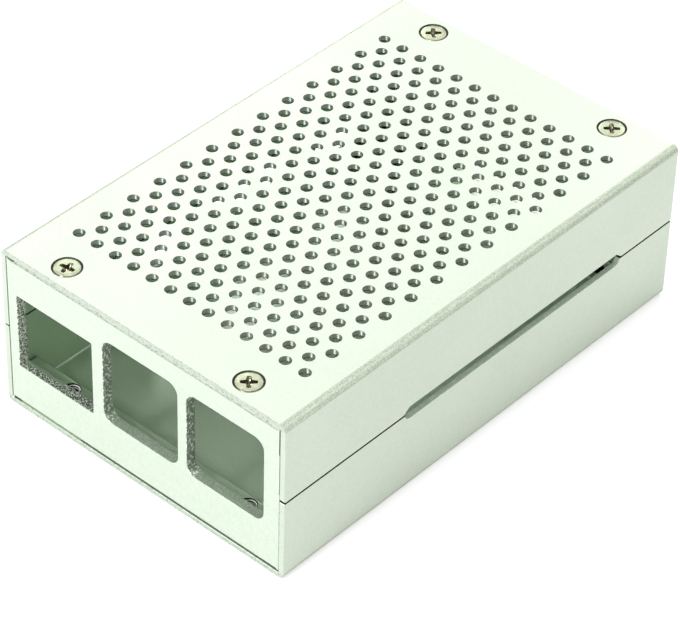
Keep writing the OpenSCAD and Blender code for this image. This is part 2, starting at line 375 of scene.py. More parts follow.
# Near black, as painted shade: on the parting edges of the sheets, in stretches of the end walls' rim and on
# the top edges of the rails.
parting_edge = cut_metal("parting_edge", (0.045, 0.07, 0.045), (0.10, 0.14, 0.10), rough=(0.5, 0.6), bump=0.2)
slot_edge = cut_metal("slot_edge", (0.38, 0.445, 0.365), (0.48, 0.56, 0.455), rough=(0.34, 0.44),
                      flecks=1400.0, bump=0.2, metallic=0.2)
sink_wall = cut_metal("sink_wall", (0.03, 0.03, 0.025), (0.08, 0.08, 0.065), rough=(0.45, 0.6), bump=0.2)
print("materials so far:", len(bpy.data.materials))

# %% [markdown]
# The end frames are blasted outside, but their windows were cut by three tools: the square one is
# torn and sparkles, the rounded ones are milled on the left side and ground on the others. One cut
# metal for all would make them look alike, so each cut has its own. The sill of the square window
# takes a darker copy of its torn metal, as painted shade, and the rails inside keep a plain, even
# metal.

# %% Metals of the frames
torn_cut = dict(flecks=3500.0, bump=1.0)
blasted_frame = blasted_metal("blasted_frame", (0.36, 0.415, 0.35), (0.57, 0.635, 0.545), rough=(0.46, 0.54),
                              grains=2600.0, metallic=0.55)
frame_rail = blasted_metal("frame_rail", (0.55, 0.67, 0.52), (0.70, 0.81, 0.66), rough=(0.40, 0.48),
                           metallic=1.0)
# A dull, darker metal for the rim of the end walls, as painted shade in the gap to the shells.
frame_groove = cut_metal("frame_groove", (0.22, 0.25, 0.21), (0.42, 0.47, 0.40), rough=(0.45, 0.55),
                         bare=0.40, bump=0.3)
rough_reveal = cut_metal("rough_reveal", (0.09, 0.11, 0.08), (0.72, 0.78, 0.68), rough=(0.4, 0.6),
                         bare=0.47, metallic=0.35, **torn_cut)
torn_sill = cut_metal("torn_sill", (0.05, 0.065, 0.05), (0.50, 0.56, 0.47), rough=(0.4, 0.6),
                      bare=0.50, metallic=0.5, **torn_cut)
milled_reveal = cut_metal("milled_reveal", (0.24, 0.285, 0.23), (0.90, 0.95, 0.86), rough=(0.32, 0.46),
                          flecks=2300.0, bare=0.52, bump=0.9, metallic=0.6)
ground_reveal = cut_metal("ground_reveal", (0.32, 0.39, 0.31), (0.50, 0.58, 0.48), rough=(0.36, 0.46),
                          flecks=4600.0, bare=0.46, bump=0.4, metallic=0.8)
# Bores are painted near black, as painted shade, and thread ridges near white, as a painted highlight.
tapped_thread = cut_metal("tapped_thread", (0.015, 0.018, 0.014), (0.05, 0.055, 0.045), rough=(0.45, 0.55),
                          bump=0.15)
thread_crest = cut_metal("thread_crest", (0.92, 0.97, 0.88), (0.96, 0.99, 0.93), rough=(0.16, 0.22),
                         bump=0.1, metallic=0.3)
print("materials so far:", len(bpy.data.materials))

# %% [markdown]
# The screws are nickel plated, which is warmer than the aluminium round them. Shadow alone would
# leave the cross recesses too bright, so the plating is given again in a far darker form for them,
# as painted shade. The standoffs are plated too, and their bores take the same painted shade.

# %% Metals of the screws and standoffs
nickel_plate = cut_metal("nickel_plate", (0.35, 0.38, 0.265), (0.45, 0.48, 0.35), rough=(0.34, 0.44),
                         flecks=2400.0, bump=0.2)
recess_plate = cut_metal("recess_plate", (0.09, 0.085, 0.055), (0.30, 0.29, 0.205), rough=(0.18, 0.28),
                         flecks=2600.0, bump=0.15)
plated_post = cut_metal("plated_post", (0.42, 0.48, 0.40), (0.52, 0.58, 0.49), rough=(0.24, 0.36),
                        flecks=2000.0, bump=0.15)
print("materials in all:", len(bpy.data.materials))

# %% [markdown]
# Sheet metal starts as a flat blank, so the pieces do too. Boxes with Boolean cuts would work, but
# they leave ragged faces that shade badly. A blank is drawn as closed outlines instead: material
# lies on the left of the direction of travel, so the outer edge runs anticlockwise and every hole
# clockwise. Each outline carries a rim, a list of (inset, depth) steps from the outer face to the
# inner one, which rounds its two edges. Mitres say which way each point moves for an inset.

# %% Outlines and rims
def circle(x, y, r, count, way=-1):
    turns = [way * 2 * math.pi * k / count for k in range(count)]
    return [Vector((x + r * math.cos(t), y + r * math.sin(t))) for t in turns]


def round_window(x0, x1, y0, y1, r, steps=6):
    corners = ((x1 - r, y1 - r, 90), (x1 - r, y0 + r, 0), (x0 + r, y0 + r, -90), (x0 + r, y1 - r, 180))
    points = []
    for cx, cy, start in corners:
        for k in range(steps + 1):
            t = math.radians(start - 90 * k / steps)
            points.append(Vector((cx + r * math.cos(t), cy + r * math.sin(t))))
    return points


def rim(thick, top=0.07, foot=0.05):
    eased = 0.3 * top
    return [(top, 0), (eased, eased), (0, top), (0, thick - foot), (foot, thick)]


def mitres(loop, sharpest=0.3):
    found = []
    for i, here in enumerate(loop):
        into = (here - loop[i - 1]).normalized()
        out = (loop[(i + 1) % len(loop)] - here).normalized()
        left_in, left_out = Vector((-into.y, into.x)), Vector((-out.y, out.x))
        both = left_in + left_out
        found.append(both / max(both.dot(left_in), sharpest))
    return found


print("a rim on a 1 mm sheet:", rim(1.0))

# %% [markdown]
# The face of a blank is what lies between its outlines. An ngon can't have holes, so a constrained
# triangulation fills it: every outline edge is kept, and triangles that fall inside a hole are
# dropped. Creases are extra edges to keep, so that the sheet can bend along them later.

# %% Faces between outlines
def inside(point, loop):
    odd = False
    for i, a in enumerate(loop):
        b = loop[i - 1]
        if (a.y > point.y) != (b.y > point.y):
            if point.x < a.x + (point.y - a.y) * (b.x - a.x) / (b.y - a.y):
                odd = not odd
    return odd


def fill(loops, creases=()):
    points, edges, owner = [], [], []
    for k, loop in enumerate(loops):
        first = len(points)
        points += loop
        owner += [k] * len(loop)
        edges += [(first + i, first + (i + 1) % len(loop)) for i in range(len(loop))]
    inner_only, near = 1, 1e-5
    _, _, faces, sources, _, _ = geometry.delaunay_2d_cdt(points, edges + list(creases), [], inner_only, near)
    triangles = []
    for face in faces:
        ids = [sources[v][0] for v in face]
        owners = {owner[i] for i in ids}
        middle = (points[ids[0]] + points[ids[1]] + points[ids[2]]) / 3
        if len(owners) == 1 and 0 not in owners and inside(middle, loops[owner[ids[0]]]):
            continue
        triangles.append(ids)
    return triangles


print("triangles in a square washer:", len(fill([round_window(-2, 2, -2, 2, 1, 1), circle(0, 0, 0.5, 4)])))

# %% [markdown]
# One function turns outlines into a closed plate. A Solidify modifier could thicken a flat face, but
# it can't give each edge its own rim. The function keeps a number called finish on every face, for
# the outer face, the inner face, and each kind of cut edge, hole and fold. Later, Geometry Nodes
# read that number and hand each face its metal. A finish or a rim that changes along its outline is
# given as a function.

# %% Plate from outlines
OUTER, INNER, SHEARED, DRILLED, REVEAL, THREAD, SINK, FOLD, SHADED_EDGE = range(9)
SLOT, BEND, CREASE, GROOVE, MILLED, RAIL, GROUND, TORN, SHOULDER = range(9, 18)


def add_face(bm, corners, finish):
    made = bm.faces.new(corners)
    made[bm.faces.layers.int["finish"]] = finish


def bridge(bm, upper, lower, finish):
    for i in range(len(upper)):
        j = (i + 1) % len(upper)
        add_face(bm, (upper[i], lower[i], lower[j], upper[j]), finish(i, j) if callable(finish) else finish)


def new_blank():
    bm = bmesh.new()
    bm.faces.layers.int.new("finish")
    return bm


def add_plate(bm, edges, place, creases=(), faces=(OUTER, INNER)):
    tops, feet, top_rings, foot_rings = [], [], [], []
    for loop, profile, finish in edges:
        pull = mitres(loop)
        steps = [profile(p, m) if callable(profile) else profile for p, m in zip(loop, pull)]
        rings = []
        for k in range(len(steps[0])):
            flat = [p + m * s[k][0] for p, m, s in zip(loop, pull, steps)]
            rings.append([bm.verts.new(place(q.x, q.y, -s[k][1])) for q, s in zip(flat, steps)])
            if k == 0:
                tops.append(flat)
        feet.append(flat)
        top_rings += rings[0]
        foot_rings += rings[-1]
        for k, (upper, lower) in enumerate(zip(rings, rings[1:])):
            if callable(finish):
                bridge(bm, upper, lower, lambda i, j: finish(i, j, k))
            elif finish is not None:
                bridge(bm, upper, lower, finish)
    for ids in fill(tops, creases):
        add_face(bm, [top_rings[i] for i in ids], faces[0])
    for ids in fill(feet, creases):
        add_face(bm, [foot_rings[i] for i in reversed(ids)], faces[1])


def flat_place(x, y, z):
    return (x * mm, y * mm, z * mm)


def blank_object(name, bm):
    mesh = bpy.data.meshes.new(name)
    bm.to_mesh(mesh)
    bm.free()
    made = bpy.data.objects.new(name, mesh)
    scene.collection.objects.link(made)
    return made


print("numbered finishes:", SHOULDER + 1)

# %% [markdown]
# The shells' sizes could be typed in again, but read from the solids, in millimetres, they agree
# with them. A shell is drawn unfolded: distances run along the outer face from the middle of the
# sheet, over the flat half, round the quarter turn of the bend and down the wall. The vents fill a
# field of whole bricks.

# %% Sizes of the shells
def box_mm(node):
    return [[round(v / mm, 3) for v in corner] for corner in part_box(node)]


(_, _, seam_top), (case_half_w, case_half_l, case_h) = box_mm("top_shell")
seam_foot = box_mm("bottom_shell")[1][2]
sheet_t, bend_r, bend_steps = 1.0, 1.2, 6
flat_half = case_half_w - bend_r
bend_run = bend_r * math.pi / 2
wall_start = flat_half + bend_run
screw_x, screw_y = 19.3, 43.2
screw_spots = [(sx * screw_x, sy * screw_y) for sx in (-1, 1) for sy in (-1, 1)]
standoff_spots = [(x, y) for x in (-25.65, 23.35) for y in (-21.3, 36.7)]
vent_columns, vent_rows, column_pitch, row_pitch = 13, 13, 4.0, 6.0
brick_half_w, brick_half_l = column_pitch / 2, row_pitch / 4
field_x, field_y = vent_columns * brick_half_w, (2 * vent_rows - 1) * brick_half_l
print("case:", 2 * case_half_w, 2 * case_half_l, case_h, "parting line:", seam_foot, seam_top)

# %% [markdown]
# The long slot for the ribbon lies across the parting line, half of it in each shell. In the lower
# sheet its ends are quarter rounds. In the upper sheet they rise in a slow curve, which an arc can't
# follow, so a smooth step draws them. The outline's points at the bends also start the creases
# along which it folds.

# %% Outline of an unfolded shell
slot_start, slot_end, slot_r, slot_steps, slot_ease = -18.45, 32.25, 1.2, 8, 1.75
seam_half = (seam_top - seam_foot) / 2
sharp_corner, upper_corner, corner_steps = 0.12, 0.4, 4


def slot_half(far, eased):
    first = math.acos(seam_half / slot_r)
    points = []
    for k in range(slot_steps + 1):
        share = k / slot_steps
        if eased:
            rise, back = (slot_r - seam_half) * share * share * (3 - 2 * share), slot_ease * (1 - share)
        else:
            turn = first * (1 - share)
            rise, back = slot_r * math.cos(turn) - seam_half, slot_r * math.sin(turn)
        points.append(Vector((far - rise, slot_start - back)))
    return points + [Vector((p.x, slot_start + slot_end - p.y)) for p in reversed(points)]


def corner_points(far, r):
    turns = [math.radians(90 * k / corner_steps) for k in range(corner_steps + 1)]
    return [Vector((far - r + r * math.sin(t), -case_half_l + r - r * math.cos(t))) for t in turns]


def crease_pairs(loop):
    def at_end(y):
        return {round(p.x, 4): i for i, p in enumerate(loop) if p.y == y and abs(p.x) <= wall_start + 1e-6}
    low, high = at_end(-case_half_l), at_end(case_half_l)
    return [(low[x], high[x]) for x in low]


def shell_outline(wall, corner_r, upper):
    far = wall_start + wall
    bends = [flat_half + bend_run * k / bend_steps for k in range(bend_steps + 1)]
    across = [-b for b in reversed(bends)] + bends
    right, left = corner_points(far, corner_r), corner_points(far, sharp_corner)
    loop = [Vector((x, -case_half_l)) for x in across] + right + slot_half(far, upper)
    loop += [Vector((p.x, -p.y)) for p in reversed(right)]
    loop += [Vector((x, case_half_l)) for x in reversed(across)]
    loop += [Vector((-p.x, -p.y)) for p in left] + [Vector((-p.x, p.y)) for p in reversed(left)]
    if not upper:
        loop = [Vector((-p.x, p.y)) for p in reversed(loop)]
    return loop, crease_pairs(loop)


upper_outline = shell_outline(case_h - bend_r - seam_top, upper_corner, upper=True)
lower_outline = shell_outline(seam_foot - bend_r, sharp_corner, upper=False)
print("points round the shells:", len(upper_outline[0]), len(lower_outline[0]))

# %% [markdown]
# An edge of the sheet is sheared at the ends, blasted on the walls, painted near black along the
# parting line as painted shade in the gap, and polished in the slot. The edges could be picked by
# hand, but which finish one has follows from where it lies, so a function picks the number. The
# bend is marked in bands by its share of the quarter turn.

# %% Finishes of a shell's edges and bends
touch, slot_reach = 0.01, 40
shoulder_share, line_share = 2 / bend_steps, 1 - 1.5 / bend_steps


def edge_finish(loop):
    far = max(p.x for p in loop)

    def pick(i, j, ring):
        a, b = loop[i], loop[j]
        if min(abs(a.x), abs(b.x)) > far - touch:
            return SHADED_EDGE
        if max(abs(a.y), abs(b.y)) < slot_reach:
            return SLOT
        return OUTER if min(abs(a.x), abs(b.x)) > wall_start - touch else SHEARED
    return pick


def bend_finish(share):
    if share < shoulder_share:
        return SHOULDER
    return BEND if share < line_share else CREASE


def mark_folds(bm):
    mark = bm.faces.layers.int["finish"]
    for face in bm.faces:
        share = (abs(face.calc_center_median().x) / mm - flat_half) / bend_run
        if face[mark] in (OUTER, INNER) and 0 < share < 1:
            face[mark] = bend_finish(share) if face[mark] == OUTER else FOLD
    return bm


print("bands of a bend:", [bend_finish((k + 0.5) / bend_steps) for k in range(bend_steps)])

# %% [markdown]
# The openings could be cut after folding, but in the flat blank each is only one more outline. The
# upper blank has a rectangular gap where the field of vents will go, with a point at every brick's
# corner and middle, and four countersinks. The lower blank has countersinks too, the socket windows
# in its left wall and the holes for the standoffs. It is drawn as seen from below, so its X runs the
# other way.

# %% Blanks of the two shells
sink_r = 2.48
sink_rim = [(0.05, 0), (-0.04, 0.05), (-0.96, 0.96), (-0.97, sheet_t)]
cut_through = [(0, 0), (0, sheet_t)]
sinks = [(circle(x, y, sink_r, 48), sink_rim, SINK) for x, y in screw_spots]


def shell_blank(name, outline, creases, openings):
    bm = new_blank()
    add_plate(bm, [(outline, rim(sheet_t), edge_finish(outline))] + openings, flat_place, creases)
    return blank_object(name, mark_folds(bm))


def upper_blank():
    wide, tall = round(2 * field_x / brick_half_w), round(2 * field_y / brick_half_l)
    gap = [Vector((-field_x, -field_y + brick_half_l * k)) for k in range(tall)]
    gap += [Vector((-field_x + brick_half_w * k, field_y)) for k in range(wide)]
    gap += [-p for p in gap]
    return shell_blank("upper_blank", *upper_outline, [(gap, cut_through, None)] + sinks)


def socket_windows(at):
    power_foot, power_head, power_start, power_end, power_r = 7.3, 12.4, 24.75, 34.45, 2.2
    video_corners = [(12.2, 16.6), (14.9, 16.6), (14.9, -0.2), (12.2, -0.2), (8.9, 2.0), (8.9, 14.4)]
    sound_z, sound_y, sound_r = 11.8, -13.3, 3.5
    power = round_window(at(power_foot), at(power_head), power_start, power_end, power_r)
    video = [Vector((at(z), y)) for z, y in video_corners]
    return [power, video, circle(at(sound_z), sound_y, sound_r, 40)]


def lower_blank(standoff_hole_r=2.12):
    holes = [circle(-x, y, standoff_hole_r, 32) for x, y in standoff_spots]
    holes += socket_windows(lambda z: wall_start + z - bend_r)
    cuts = [(hole, rim(sheet_t), DRILLED) for hole in holes]
    return shell_blank("lower_blank", *lower_outline, sinks + cuts)


flat_upper, flat_lower = upper_blank(), lower_blank()
print("blank faces:", len(flat_upper.data.polygons), len(flat_lower.data.polygons))

# %% [markdown]
# Cutting 313 vents one by one would be slow, so only one is modelled: a 4 by 3 mm brick of sheet
# with a round hole. Its softened upper rim and a thin ring at the foot of its wall are painted dark,
# as painted shade at the hole's edges. It has under a hundred faces, because it is so small. Rows are
# set over by half a brick, as in a wall, and each second row ends in half bricks with no hole.

# %% One vent brick and one plain half brick
vent_r, vent_soft, shade_ring_depth = 1.0, 0.04, 0.90


def brick(name, xs, holes=()):
    foot = [Vector((x, -brick_half_l)) for x in xs] + [Vector((xs[-1], 0))]
    head = [Vector((x, brick_half_l)) for x in reversed(xs)] + [Vector((xs[0], 0))]
    bm = new_blank()
    add_plate(bm, [(foot + head, cut_through, None), *holes], flat_place)
    return blank_object(name, bm)


def vent_finish(i, j, ring):
    return DRILLED if ring == 1 else SINK


vent_rim = [(vent_soft, 0), (0, vent_soft), (0, shade_ring_depth), (0, sheet_t)]
vent_hole = (circle(0, 0, vent_r, 16), vent_rim, vent_finish)
vent = brick("vent_brick", (-brick_half_w, 0, brick_half_w), [vent_hole])
plain_half = brick("half_brick", (-brick_half_w / 2, brick_half_w / 2))
print("faces of one vent brick:", len(vent.data.polygons))

# %% [markdown]
# Geometry Nodes trees are usually wired by hand on the screen. In a script, a small class keeps
# that short: put adds a node and plugs in its inputs, calc adds a sum, and finish ends a tree with
# Realize Instances and one Set Material for each finish number.

# %% A short way to wire a tree
class Tree:
    """A Geometry Nodes tree that is wired by short calls."""

    def __init__(self, name, inputs):
        self.tree = bpy.data.node_groups.new(name, "GeometryNodeTree")
        self.tree.interface.new_socket("Geometry", in_out="INPUT", socket_type="NodeSocketGeometry")
        for label, kind in inputs:
            self.tree.interface.new_socket(label, in_out="INPUT", socket_type="NodeSocket" + kind)
        self.tree.interface.new_socket("Geometry", in_out="OUTPUT", socket_type="NodeSocketGeometry")
        self.given = self.tree.nodes.new("NodeGroupInput").outputs
        self.result = self.tree.nodes.new("NodeGroupOutput").inputs[0]

    def put(self, kind, values=None, out=0, **settings):
        made = add_node(self.tree, kind, **settings)
        for key, value in (values or {}).items():
            plug(self.tree, value, made.inputs[key])
        return made.outputs[out]

    def calc(self, operation, *values):
        return math_in(self.tree, operation, *values)

    def join(self, *parts):
        gather = add_node(self.tree, "GeometryNodeJoinGeometry")
        for part in reversed(parts):
            self.tree.links.new(part, gather.inputs[0])
        return gather.outputs[0]

    def set_on(self, points, pattern, **values):
        shape = self.put("GeometryNodeObjectInfo", {"Object": self.given[pattern]}, out="Geometry")
        return self.put("GeometryNodeInstanceOnPoints", {"Points": points, "Instance": shape, **values})

    def finish(self, shape, metals):
        shape = self.put("GeometryNodeRealizeInstances", {0: shape})
        number = self.put("GeometryNodeInputNamedAttribute", {"Name": "finish"}, data_type="INT")
        for k, metal in metals.items():
            chosen = self.put("FunctionNodeCompare", {2: number, 3: k}, data_type="INT", operation="EQUAL")
            values = {"Geometry": shape, "Selection": chosen, "Material": metal}
            shape = self.put("GeometryNodeSetMaterial", values)
        self.tree.links.new(shape, self.result)
        return self.tree


print("calls of a tree:", [name for name in vars(Tree) if not name.startswith("_")])

# %% [markdown]
# Running a tree means: hang it on an object as a modifier, set its inputs by their identifiers,
# and take the evaluated result as a plain mesh, because the export drops live instances. Smooth
# shading with weighted normals then makes the small rims catch the light and keeps flat faces flat.
# Last, the finished piece takes the place of its solid.

# %% Run a tree and bake its mesh
def plain_mesh(source, modifier, name):
    depsgraph = bpy.context.evaluated_depsgraph_get()
    mesh = bpy.data.meshes.new_from_object(source.evaluated_get(depsgraph))
    source.modifiers.remove(modifier)
    mesh.name = name
    return mesh


def run_tree(source, tree, name, **values):
    modifier = source.modifiers.new("nodes", "NODES")
    modifier.node_group = tree
    for item in tree.interface.items_tree:
        key = item.name.replace(" ", "_").lower()
        if item.in_out == "INPUT" and key in values:
            modifier[item.identifier] = values[key]
    made = bpy.data.objects.new(name, plain_mesh(source, modifier, name))
    scene.collection.objects.link(made)
    bpy.data.objects.remove(source)
    return made


def smooth_round(piece, degrees):
    piece.data.polygons.foreach_set("use_smooth", [True] * len(piece.data.polygons))
    piece.data.set_sharp_from_angle(angle=math.radians(degrees))
    shading = piece.modifiers.new("even_shading", "WEIGHTED_NORMAL")
    shading.keep_sharp = True
    piece.data = plain_mesh(piece, shading, piece.name)
    print(piece.name, "faces:", len(piece.data.polygons))


def stand_for(piece, solid, degrees):
    smooth_round(piece, degrees)
    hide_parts(solid)
    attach(piece, "root")


print("flat shapes that wait for a tree:", [o.name for o in (flat_upper, flat_lower, vent, plain_half)])

# %% [markdown]
# Now the nodes do what the workshop does: punch, then fold. Two grids of points carry the vent
# bricks, a third carries the half bricks, and everything is welded to the blank. A bend modifier
# would curve the whole sheet, so each point's distance from the middle decides instead whether it
# stays flat, goes round the bend or stands in the wall.

# %% Geometry Nodes: punch and fold
weld = 0.002 * mm


def punch(t):
    g = t.given
    columns, rows, across, along = g["Columns"], g["Rows"], g["Column pitch"], g["Row pitch"]
    fewer_columns, fewer_rows = t.calc("SUBTRACT", columns, 1), t.calc("SUBTRACT", rows, 1)

    def span(count, pitch):
        return t.calc("MULTIPLY", t.calc("SUBTRACT", count, 1), pitch)

    def lattice(size_x, size_y, count_x, count_y):
        sizes = {"Size X": size_x, "Size Y": size_y, "Vertices X": count_x, "Vertices Y": count_y}
        return t.put("GeometryNodeMeshGrid", sizes)

    long_x, long_y = span(columns, across), span(rows, along)
    short_x, short_y = span(fewer_columns, across), span(fewer_rows, along)
    end_x = t.calc("ADD", long_x, t.calc("MULTIPLY", across, 0.5))
    long_rows = lattice(long_x, long_y, columns, rows)
    short_rows = lattice(short_x, short_y, fewer_columns, fewer_rows)
    row_ends = lattice(end_x, short_y, 2, fewer_rows)
    vents = t.set_on(t.join(long_rows, short_rows), "Vent brick")
    sheet = t.join(g["Geometry"], vents, t.set_on(row_ends, "Half brick"))
    sheet = t.put("GeometryNodeRealizeInstances", {0: sheet})
    return t.put("GeometryNodeMergeByDistance", {"Geometry": sheet, "Distance": weld})


def fold_over(t, sheet):
    flat, radius = t.given["Flat half width"], t.given["Bend radius"]
    at = add_node(t.tree, "ShaderNodeSeparateXYZ")
    t.tree.links.new(t.put("GeometryNodeInputPosition"), at.inputs[0])
    x, y, z = at.outputs
    reach = t.calc("ABSOLUTE", x)
    over = t.calc("SUBTRACT", reach, flat)
    turn = t.calc("MINIMUM", t.calc("MAXIMUM", t.calc("DIVIDE", over, radius), 0.0), math.pi / 2)
    rest = t.calc("MAXIMUM", t.calc("SUBTRACT", over, t.calc("MULTIPLY", radius, math.pi / 2)), 0.0)
    arm = t.calc("ADD", radius, z)
    out = t.calc("ADD", t.calc("MINIMUM", reach, flat), t.calc("MULTIPLY", arm, t.calc("SINE", turn)))
    down = t.calc("ADD", rest, radius)
    up = t.calc("SUBTRACT", t.calc("MULTIPLY", arm, t.calc("COSINE", turn)), down)
    spot = t.put("ShaderNodeCombineXYZ", {0: t.calc("MULTIPLY", out, t.calc("SIGN", x)), 1: y, 2: up})
    shape = t.put("GeometryNodeSetPosition", {"Geometry": sheet, "Position": spot})
    spin = t.put("ShaderNodeCombineXYZ", {1: t.given["Turn over"]})
    lift = t.put("ShaderNodeCombineXYZ", {2: t.given["Face height"]})
    return t.put("GeometryNodeTransform", {"Geometry": shape, "Rotation": spin, "Translation": lift})


def fold_tree(metals):
    t = Tree("punch_and_fold", [("Vent brick", "Object"), ("Half brick", "Object"), ("Columns", "Int"),
                                ("Rows", "Int"), ("Column pitch", "Float"), ("Row pitch", "Float"),
                                ("Flat half width", "Float"), ("Bend radius", "Float"),
                                ("Turn over", "Float"), ("Face height", "Float")])
    return t.finish(fold_over(t, punch(t)), metals)


fold = fold_tree({OUTER: blasted_sheet, INNER: sheet_inside, SHEARED: sheared_edge, DRILLED: drilled_wall,
                  SINK: sink_wall, FOLD: fold_inside, SHADED_EDGE: parting_edge, SLOT: slot_edge,
                  BEND: fold_outside, CREASE: fold_line, SHOULDER: fold_shoulder})
print("nodes that punch and fold:", len(fold.nodes))

# %% [markdown]
# Each shell could have its own tree, but the steps are the same, so both go through one. The lower
# shell has no vents, so its counts are 0, and it is turned over to stand with its walls up. The
# smoothing angle is small, so that the sheared edges stay crisp while the folds run smoothly.

# %% The two shells
fold_sizes = dict(vent_brick=vent, half_brick=plain_half, column_pitch=column_pitch * mm,
                  row_pitch=row_pitch * mm, flat_half_width=flat_half * mm, bend_radius=bend_r * mm)
top_sheet = run_tree(flat_upper, fold, "top_sheet", columns=vent_columns, rows=vent_rows, turn_over=0.0,
                     face_height=case_h * mm, **fold_sizes)
base_sheet = run_tree(flat_lower, fold, "base_sheet", columns=0, rows=0, turn_over=math.pi,
                      face_height=0.0, **fold_sizes)
for helper in (vent, plain_half):
    bpy.data.objects.remove(helper)
stand_for(top_sheet, "top_shell", degrees=35)
stand_for(base_sheet, "bottom_shell", degrees=35)

# %% [markdown]
# The end frames are milled from thicker metal. An end wall's long edges are well rounded, its right
# edge less so, and its left edge is nearly sharp. A Bevel modifier would round all of them alike, so
# a function gives the rim for the way an edge faces. Round the front wall runs a thin gap to the
# shells. Its shade is painted into the rim unevenly: some stretches are painted near black, others
# only dull. The outline gets a point at each change.

# %% End walls
(_, front_y, foot_z), (frame_half_w, rail_end_y, head_z) = box_mm("front_frame")
face_y, rail_y, wall_t, wall_corner = -front_y, -rail_end_y, 1.9, 0.3
left_r, right_r, long_extra_r, wall_rim_steps = 0.08, 0.3, 0.4, 5
seam_shade_left, seam_shade_mid, seam_shade_right, seam_shade_low, seam_shade_high = -27.4, -14.0, 25.5, 17.0, 25.0


def wall_rim(point, pull):
    inward = pull.normalized()
    faces_left = inward.x > 0.5
    r = (left_r if faces_left else right_r) + long_extra_r * inward.y ** 2
    turns = [math.radians(90 * k / wall_rim_steps) for k in range(wall_rim_steps + 1)]
    return [(r - r * math.sin(t), r - r * math.cos(t)) for t in turns] + rim(wall_t)[-2:]


def wall_outline():
    window = round_window(-frame_half_w, frame_half_w, foot_z, head_z, wall_corner, steps=4)
    loop = list(reversed(window))
    stops = [Vector((seam_shade_left, head_z))] + [Vector((frame_half_w, z)) for z in (seam_shade_low, seam_shade_high)]
    stops += [Vector((x, foot_z)) for x in (seam_shade_left, seam_shade_mid, seam_shade_right)]
    marked = []
    for a, b in zip(loop, loop[1:] + loop[:1]):
        between = [m for m in stops if abs((m - a).length + (b - m).length - (b - a).length) < 1e-4]
        marked += [a] + sorted(between, key=lambda m: (m - a).length)
    return marked


# Picks where the rim is painted near black and where it is painted dull, as painted shade in the gap, and
# where it stays plain.
def seam_finish(loop):
    def pick(i, j, ring):
        x, z = (loop[i] + loop[j]) / 2
        head, foot = z > head_z - wall_corner, z < foot_z + wall_corner
        right = x > 0 and not head and not foot
        corner = (x < seam_shade_left and (head or foot)) or (foot and x > seam_shade_right)
        if ring > 0 and (corner or (right and z > seam_shade_high)):
            return SHADED_EDGE
        if ring > 1 and ((foot and x > seam_shade_mid) or (right and z > seam_shade_low)):
            return SHADED_EDGE
        if head or (ring > 0 and foot) or (ring > 1 and right):
            return GROOVE
        return OUTER
    return pick


end_wall = wall_outline()
print("points round an end wall:", len(end_wall))

# %% [markdown]
# A rail along the foot of each wall and one along its head take the screws. A rail is a small block
# with tapped bores, laid into the wall by a little so that no gap shows. Wall and rails could be one
# mesh, but that takes cuts in three directions, and the lap is out of sight. The free mouth of each
# bore is flared more than the mouth that a screw enters.

# %% Rails
rail_lap, rail_bore_r, foot_rail_z, head_rail_z = 0.3, 1.28, 6.2, 26.2
wide_mouth, small_mouth = 0.25, 0.1


# The rounded top edge of a rail is painted near black, as painted shade; the rest keeps the rail metal.
def rail_finish(i, j, ring):
    return RAIL if ring > 1 else SHADED_EDGE


def rail(bm, side, xs, zs, bores, mouths):
    near, far = sorted((side * (face_y - wall_t + rail_lap), side * rail_y))
    edge = [Vector((xs[0], near)), Vector((xs[1], near)), Vector((xs[1], far)), Vector((xs[0], far))]
    tall = zs[1] - zs[0]
    bore = [(mouths[0], 0), (0, mouths[0]), (0, tall - mouths[1]), (mouths[1], tall)]
    edges = [(edge, rim(tall, top=0.12), rail_finish)]
    edges += [(circle(x, side * screw_y, rail_bore_r, 40), bore, THREAD) for x in bores]
    add_plate(bm, edges, lambda x, y, z: (x * mm, y * mm, (zs[1] + z) * mm), faces=(RAIL, RAIL))


def foot_rail(bm, side, x0, x1, bores, top=foot_rail_z):
    rail(bm, side, (x0, x1), (foot_z, top), bores, (wide_mouth, small_mouth))


def head_rail(bm, side):
    rail(bm, side, (-frame_half_w, frame_half_w), (head_rail_z, head_z), (-screw_x, screw_x),
         (small_mouth, wide_mouth))


print("rail heights:", round(foot_rail_z - foot_z, 2), round(head_z - head_rail_z, 2))

# %% [markdown]
# The front wall has a square window for the network socket and two rounded ones for the data
# sockets. The left part of the square window's sill broke out as it was cut: from the tear inwards
# it shows the bare rail metal. A painted mask could mark it, but one more point in the outline and
# one more step in the rim give it a clean edge.

# %% Front frame
net_x0, net_x1, net_z0, net_z1, net_r, net_steps = -27.2, -10.6, 8.9, 23.3, 0.3, 4
data_x0, data_x1, data_z0, data_z1, data_r, data_pitch = -8.175, 7.875, 9.2, 25.7, 2.0, 18.0
window_rim, milled_width = rim(wall_t, top=0.1), 1.4
tear_x, tear_depth, sill_band = -18.5, 0.66 * wall_t, 0.2


def net_finish(window):
    def pick(i, j, ring):
        a, b = window[i], window[j]
        if max(a.y, b.y) > net_z0 + sill_band:
            return REVEAL
        return RAIL if ring > 2 and max(a.x, b.x) <= tear_x else TORN
    return pick


def data_finish(window):
    left = min(p.x for p in window)
    return lambda i, j, ring: MILLED if max(window[i].x, window[j].x) < left + milled_width else GROUND


